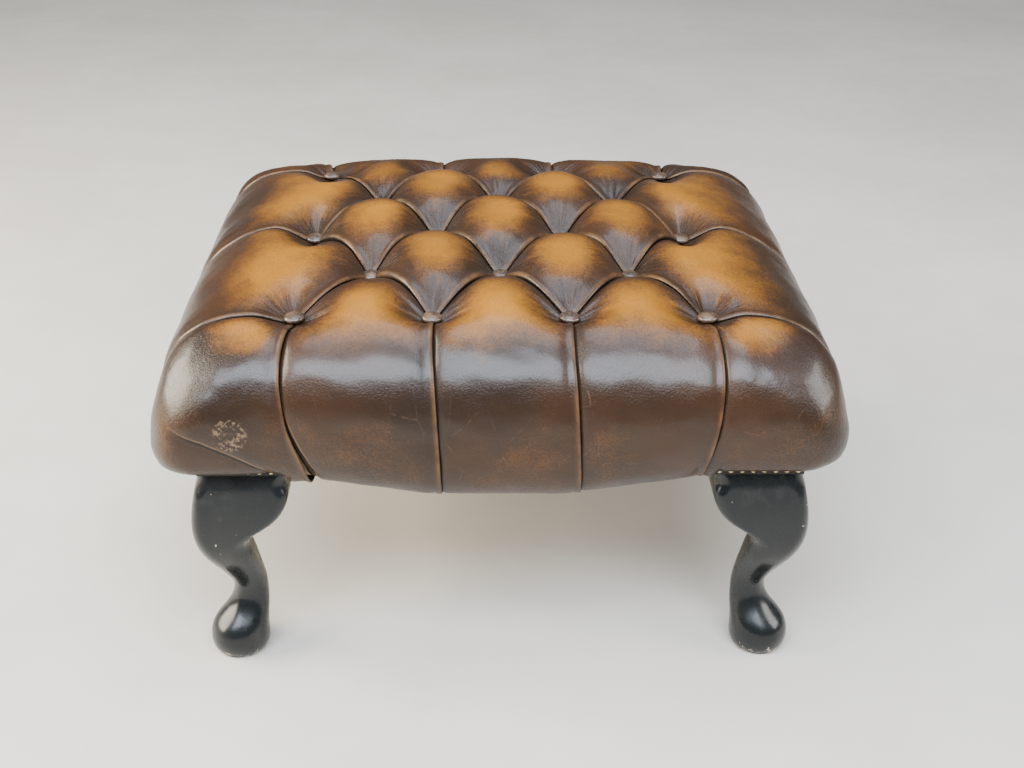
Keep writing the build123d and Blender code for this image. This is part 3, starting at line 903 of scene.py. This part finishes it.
def button_leather():
    """Darker leather, worn paler in places."""
    m = Shader("button_leather", Coat_Weight=0.3, Coat_Roughness=0.25)
    pebbles = leather_grain(m, 0.0003)
    rim_worn = m.span(m.noise(95, 3, 0.6), 0.45, 0.7)
    dark = m.blend(rim_worn, (0.030, 0.018, 0.012), (0.110, 0.060, 0.032))
    m.colour(m.blend(m.span(pebbles, 0.1, 0.5), (0.15, 0.085, 0.045), dark))
    m.rough(m.span(m.noise(130, 3), 0.3, 0.7, 0.28, 0.42))
    return m.material


def ebonised_wood():
    """Black lacquer over hardwood, with pale chips at the foot and the knee."""
    m = Shader("ebonised_wood", Coat_Weight=0.26, Coat_Roughness=0.20, Specular_IOR_Level=0.26)
    z = m.node("SeparateXYZ", Vector=m.place).outputs["Z"]
    grain = m.noise(14, 5, 0.6, 0.4, m.scaled((9.0, 9.0, 0.8)))
    low = m.span(z, 0.002, 0.016, 1.0, 0.0)
    knee = m.times(m.span(z, 0.110, 0.125), m.span(z, 0.150, 0.190, 1.0, 0.0))
    where = m.plus(m.times(low, 0.17), m.times(knee, 0.03))
    chips = m.span(m.plus(m.noise(210, 4, 0.55), where), 0.735, 0.75)
    worn = m.span(m.plus(m.noise(33, 5, 0.7), m.times(low, 0.1)), 0.56, 0.75)
    black = m.blend(grain, (0.0035, 0.0045, 0.0048), (0.0070, 0.0088, 0.0092))
    dull = m.blend(m.times(worn, 0.6), black, (0.022, 0.022, 0.020))
    m.colour(m.blend(chips, dull, (0.44, 0.38, 0.29)))
    m.rough(m.plus(m.span(m.noise(45, 4, 0.6), 0.3, 0.7, 0.20, 0.36), m.times(chips, 0.4)))
    m.bump(grain, 0.0006, 0.35)
    m.bump(m.noise(120, 3, 0.5), 0.0003, 0.3)
    m.bump(chips, -0.0004, 0.8)
    return m.material


def metal(name, bright, dark, polish):
    """Metal with darker tarnish in patches and a fine bumpy surface."""
    m = Shader(name, Metallic=1.0)
    patches = m.span(m.noise(260, 4, 0.65), 0.38, 0.66)
    m.colour(m.blend(patches, bright, dark))
    m.rough(m.span(patches, 0.0, 1.0, polish, polish + 0.25))
    m.bump(m.noise(900, 3, 0.6), 0.0001, 0.5)
    return m.material


def woven(name, colour, highlight, pitch):
    """Plain weave with uneven threads."""
    m = Shader(name, Sheen_Weight=0.15)
    threads = [m.bands(0.5 / pitch, axis) for axis in ("X", "Y", "Z")]
    weave = m.times(m.plus(threads[0], threads[1]), m.plus(threads[2], 0.35))
    uneven = m.noise(320, 3, 0.6)
    m.colour(m.blend(m.times(weave, uneven), colour, highlight))
    m.rough(m.span(m.noise(60, 3), 0.3, 0.7, 0.75, 0.92))
    m.bump(weave, 0.0002, 0.7)
    m.bump(uneven, 0.0002, 0.3)
    return m.material


def spun_cloth():
    """Thin bonded cloth with small pressed dimples and loose fibres."""
    m = Shader("dust_cloth", Sheen_Weight=0.2)
    dimples = m.cells(560, "F1", None, 0.15)
    fibres = m.noise(300, 5, 0.7, 0.6, m.scaled((1.0, 0.35, 1.0)))
    m.colour(m.blend(m.span(fibres, 0.35, 0.75), (0.012, 0.012, 0.013), (0.045, 0.045, 0.048)))
    m.rough(m.span(m.noise(20, 3), 0.3, 0.7, 0.8, 0.95))
    m.bump(m.span(dimples, 0.0, 0.35), 0.0002, 0.6)
    m.bump(fibres, 0.0003, 0.5)
    return m.material


def bare_wood(name, pale, dark, stretch, layers=False):
    """Planed wood with long grain, or plywood with its plies."""
    m = Shader(name)
    grain = m.noise(12, 6, 0.62, 0.8, m.scaled(stretch))
    rings = m.bands(2.2, "Y", 5.0, m.scaled(tuple(k * 2.0 for k in stretch)))
    tone = m.plus(m.times(grain, 0.7), m.times(rings, 0.3))
    shade = m.blend(m.span(tone, 0.3, 0.75), pale, dark)
    if layers:
        plies = m.span(m.bands(42, "Z"), 0.35, 0.65)
        shade = m.blend(m.times(plies, 0.35), shade, dark)
    m.colour(shade)
    m.rough(m.span(grain, 0.3, 0.7, 0.55, 0.72))
    m.bump(grain, 0.0006, 0.5)
    return m.material


def porous(name, colour, shadow, scale, depth):
    """Foam or loose fibre."""
    m = Shader(name, Sheen_Weight=0.1)
    holes = m.cells(scale, "SMOOTH_F1")
    tufts = m.noise(scale / 6, 5, 0.7)
    m.colour(m.blend(m.times(m.span(holes, 0.1, 0.6), tufts), shadow, colour))
    m.rough(m.span(tufts, 0.3, 0.7, 0.85, 0.97))
    m.bump(holes, depth, 0.7)
    m.bump(tufts, depth * 3, 0.4)
    return m.material


def moulded(name, colour, pale):
    """Hard plastic with fine specks."""
    m = Shader(name)
    specks = m.noise(500, 3, 0.6)
    m.colour(m.blend(m.span(specks, 0.4, 0.75), colour, pale))
    m.rough(m.span(m.noise(80, 3), 0.3, 0.7, 0.42, 0.58))
    m.bump(specks, 0.0001, 0.5)
    return m.material


def pale_floor():
    """Plain pale studio floor."""
    m = Shader("pale_floor")
    m.colour(m.blend(m.span(m.noise(2.5, 5, 0.6), 0.3, 0.7), (0.50, 0.455, 0.395), (0.56, 0.515, 0.455)))
    m.rough(m.span(m.noise(30, 4, 0.6), 0.3, 0.7, 0.50, 0.62))
    m.bump(m.noise(160, 4, 0.6), 0.0003, 0.4)
    return m.material


finishes = {
    "rubbed_leather": rubbed_leather(),
    "ebonised_wood": ebonised_wood(),
    "nail_brass": metal("nail_brass", (0.62, 0.50, 0.28), (0.20, 0.145, 0.075), 0.24),
    "black_band": woven("black_band", (0.010, 0.010, 0.010), (0.055, 0.050, 0.046), 0.0011),
    "softwood": bare_wood("softwood", (0.62, 0.45, 0.26), (0.42, 0.26, 0.12), (1.2, 9.0, 9.0)),
    "plywood": bare_wood("plywood", (0.66, 0.50, 0.31), (0.46, 0.31, 0.17), (8.0, 1.2, 8.0), True),
    "zinc_screw": metal("zinc_screw", (0.66, 0.66, 0.64), (0.36, 0.35, 0.32), 0.30),
    "staple_wire": metal("staple_wire", (0.70, 0.70, 0.69), (0.40, 0.38, 0.36), 0.22),
    "foam": porous("foam", (0.80, 0.72, 0.50), (0.52, 0.44, 0.27), 900, 0.0003),
    "wadding": porous("wadding", (0.88, 0.87, 0.84), (0.62, 0.61, 0.58), 320, 0.0008),
    "twine": woven("twine", (0.42, 0.37, 0.27), (0.80, 0.74, 0.60), 0.0008),
    "washer": moulded("washer", (0.16, 0.16, 0.16), (0.27, 0.27, 0.26)),
    "dust_cloth": spun_cloth(),
    "button": button_leather(),
}
node_finishes = {
    "leg": "ebonised_wood", "corner_block": "softwood", "edge_band": "black_band",
    "brass_nails": "nail_brass", "front_rail": "softwood", "rear_rail": "softwood",
    "left_rail": "softwood", "right_rail": "softwood",
    "cross_brace": "softwood", "rail_dowels": "softwood", "corner_block_screws": "zinc_screw",
    "seat_deck": "plywood", "deck_screws": "zinc_screw", "edge_roll": "foam", "foam_pad": "foam",
    "fibre_wadding": "wadding", "leather_cover": "rubbed_leather", "button_r": "rubbed_leather",
    "button_twines": "twine", "twine_washers": "washer", "leather_staples": "staple_wire",
    "dust_cover": "dust_cloth", "dust_cover_staples": "staple_wire",
}


def dress_frame():
    """Gives every CAD node its finish; the longest matching name wins."""
    for name, node in nodes.items():
        key = max((k for k in node_finishes if name.startswith(k)), key=len)
        node.data.materials.clear()
        node.data.materials.append(finishes[node_finishes[key]])


# ---- camera, light and floor
def make_camera():
    """Camera in front of the stool, looking down on it."""
    data = bpy.data.cameras.new("camera")
    camera = bpy.data.objects.new("camera", data)
    bpy.context.scene.collection.objects.link(camera)
    bpy.context.scene.camera = camera
    image_width, focal_length = 1024, 1368.8     # both in pixels
    data.sensor_width = 36.0
    data.lens = focal_length / image_width * data.sensor_width
    camera.location = (-0.0188, -1.2560, 0.8335)
    heading, pitch, roll = math.radians(1.527), math.radians(-28.45), math.radians(0.61)
    turn = Matrix.Rotation(-heading, 4, "Z") @ Matrix.Rotation(math.pi / 2 + pitch, 4, "X")
    camera.rotation_mode = "QUATERNION"
    camera.rotation_quaternion = (turn @ Matrix.Rotation(roll, 4, "Z")).to_quaternion()


def area_light(name, location, target, size, power, colour):
    """Rectangular soft box, aimed at a target."""
    data = bpy.data.lights.new(name, "AREA")
    data.shape = "RECTANGLE"
    data.size, data.size_y = size
    data.energy = power
    data.color = colour
    lamp = bpy.data.objects.new(name, data)
    bpy.context.scene.collection.objects.link(lamp)
    lamp.location = location
    lamp.rotation_mode = "QUATERNION"
    lamp.rotation_quaternion = (Vector(target) - Vector(location)).to_track_quat("-Z", "Y")


def sky():
    """Soft studio surroundings: bright overhead, dim low down."""
    world = bpy.data.worlds.new("studio")
    bpy.context.scene.world = world
    world.use_nodes = True
    tree = world.node_tree
    place = tree.nodes.new("ShaderNodeTexCoord")
    parts = tree.nodes.new("ShaderNodeSeparateXYZ")
    tree.links.new(place.outputs["Generated"], parts.inputs[0])
    ramp = tree.nodes.new("ShaderNodeValToRGB")
    tree.links.new(parts.outputs["Z"], ramp.inputs[0])
    tree.links.new(ramp.outputs["Color"], tree.nodes["Background"].inputs["Color"])
    stops = ((0.0, (0.30, 0.28, 0.26)), (0.50, (0.30, 0.28, 0.26)),
             (0.72, (0.80, 0.87, 1.0)), (1.0, (0.85, 0.92, 1.0)))
    while len(ramp.color_ramp.elements) < len(stops):
        ramp.color_ramp.elements.new(0.5)
    for element, (place_on_ramp, colour) in zip(ramp.color_ramp.elements, stops):
        element.position = place_on_ramp
        element.color = (*colour, 1)
    tree.nodes["Background"].inputs["Strength"].default_value = 0.6


# place, target, width and height, watts, and colour
lights = {
    "front_box": ((-0.2, -1.55, 2.3), (0, -0.1, 0.25), (3.2, 1.3), 235, (0.78, 0.88, 1.0)),
    "top_box": ((0.1, 0.2, 2.6), (0, 0, 0.3), (1.8, 1.2), 46, (0.76, 0.86, 1.0)),
    "left_box": ((-2.0, -0.1, 1.1), (0, 0, 0.25), (1.5, 1.1), 135, (1.0, 0.93, 0.76)),
    "right_box": ((2.1, -0.5, 1.2), (0, 0, 0.25), (1.0, 1.0), 44, (0.96, 0.95, 0.92)),
}

# ---- the scene
tufted = build_cover()
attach(tufted, "root")
soft_fill = sorted(n for n in nodes if n.startswith("edge_roll")) + ["foam_pad", "fibre_wadding"]
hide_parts("leather_cover", *soft_fill)
make_camera()
sky()
for name, light in lights.items():
    area_light(name, *light)
bpy.ops.mesh.primitive_plane_add(size=30)
floor = bpy.context.object
floor.name = "floor"
floor.data.materials.append(pale_floor())
dress_frame()
for number, name in enumerate(button_nodes):
    build_button(name, number)
build_dust_cover()
